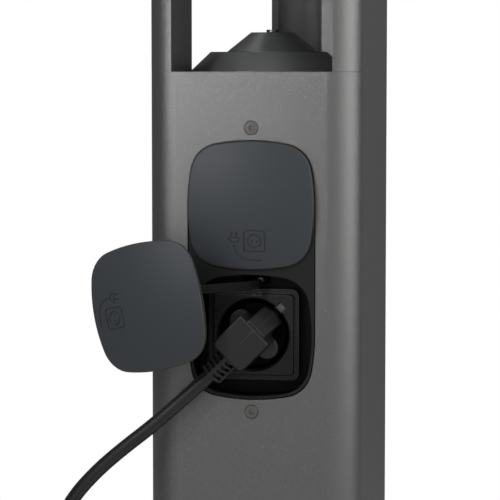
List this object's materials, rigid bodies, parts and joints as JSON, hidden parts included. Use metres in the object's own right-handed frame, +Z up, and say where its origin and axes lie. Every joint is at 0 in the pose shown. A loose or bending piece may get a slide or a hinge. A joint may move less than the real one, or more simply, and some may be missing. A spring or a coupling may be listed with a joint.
{
  "type": "ev charging post",
  "caption": "Slim anthracite bollard with a lantern on top and two capped earthed sockets in its front, one cap hanging open with a plug and lead in it.",
  "frame": {"origin": "middle of the base plate's underside, on the post's upright axis", "axes": "+Z up the post; -Y out of the sockets, towards the user; +X to the right seen from the front"},
  "size_m": [0.309, 0.2062, 1.002],
  "materials": {
    "powder_coat": "fine-textured anthracite powder coat",
    "reflector_coat": "satin anthracite powder coat",
    "galvanised_steel": "galvanised",
    "stainless": "satin stainless steel",
    "fascia_plastic": "fine matt moulding",
    "socket_plastic": "black, fine grain",
    "cap_rubber": "soft matt, blue-grey",
    "seal_rubber": "matt",
    "plated_metal": "nickel plated",
    "brass": "turned",
    "plug_rubber": "satin moulded PVC",
    "carrier_plastic": "warm grey hard moulding",
    "lead_sheath": "satin PVC",
    "lens": "lightly frosted",
    "bare_aluminium": "machined",
    "board": "white solder mask",
    "led": "phosphor",
    "driver_case": "moulded"
  },
  "bodies": {
    "post": {"base_fixing_screws": "stainless", "base_plate": "galvanised_steel", "base_spigot": "galvanised_steel", "cap_screws": "stainless", "deck_screws": "stainless", "fascia_gasket": "seal_rubber", "fascia_screws": "stainless", "front_left_pillar": "powder_coat", "head_cap": "powder_coat", "head_gasket": "seal_rubber", "head_housing": "powder_coat", "lamp_lens": "lens", "lantern_deck": "galvanised_steel", "lantern_spine": "powder_coat", "led_board": "board", "led_chips": "led", "led_driver": "driver_case", "led_heatsink": "bare_aluminium", "lens_clamp_ring": "bare_aluminium", "lower_contact_sleeves": "brass", "lower_earth_clips": "plated_metal", "lower_socket_base": "socket_plastic", "lower_socket_cover": "socket_plastic", "lower_socket_screw": "stainless", "module_cable_gland": "fascia_plastic", "module_rear_box": "fascia_plastic", "mounting_rail": "galvanised_steel", "post_body": "powder_coat", "reflector_base": "reflector_coat", "reflector_cone": "reflector_coat", "reflector_screw": "stainless", "socket_fascia": "fascia_plastic", "terminal_blocks": "socket_plastic", "terminal_box": "fascia_plastic", "terminal_box_lid": "fascia_plastic", "threaded_inserts": "brass", "tie_rod_nuts": "stainless", "tie_rods": "stainless", "upper_contact_sleeves": "brass", "upper_earth_clips": "plated_metal", "upper_socket_base": "socket_plastic", "upper_socket_cover": "socket_plastic", "upper_socket_screw": "stainless"},
    "upper_cap": {"upper_cap": "cap_rubber", "upper_cap_seal": "seal_rubber", "upper_strap": "seal_rubber", "upper_strap_rivet": "stainless"},
    "lower_cap": {"lower_cap": "cap_rubber", "lower_cap_seal": "seal_rubber", "lower_strap": "seal_rubber", "lower_strap_rivet": "stainless"},
    "plug": {"plug_body": "plug_rubber", "plug_pin_carrier": "carrier_plastic", "plug_pins": "plated_metal", "plug_earth_strips": "plated_metal", "strain_relief": "plug_rubber", "lead_cord": "lead_sheath", "lead_coil": "lead_sheath", "lead_tail": "lead_sheath", "lead_connector": "plug_rubber"}
  },
  "joints": [
    {"name": "upper_cap_pull", "type": "slide", "parent": "post", "child": "upper_cap", "axis": [0, -1, 0], "range_m": [0, 0.014]},
    {"name": "lower_cap_swing", "type": "hinge", "parent": "post", "child": "lower_cap", "pos_m": [0.0038, -0.06, 0.642], "axis": [0, 1, 0], "range_deg": [0, 18]},
    {"name": "plug_pull", "type": "slide", "parent": "post", "child": "plug", "axis": [0, -1, 0], "range_m": [0, 0.045]}
  ]
}
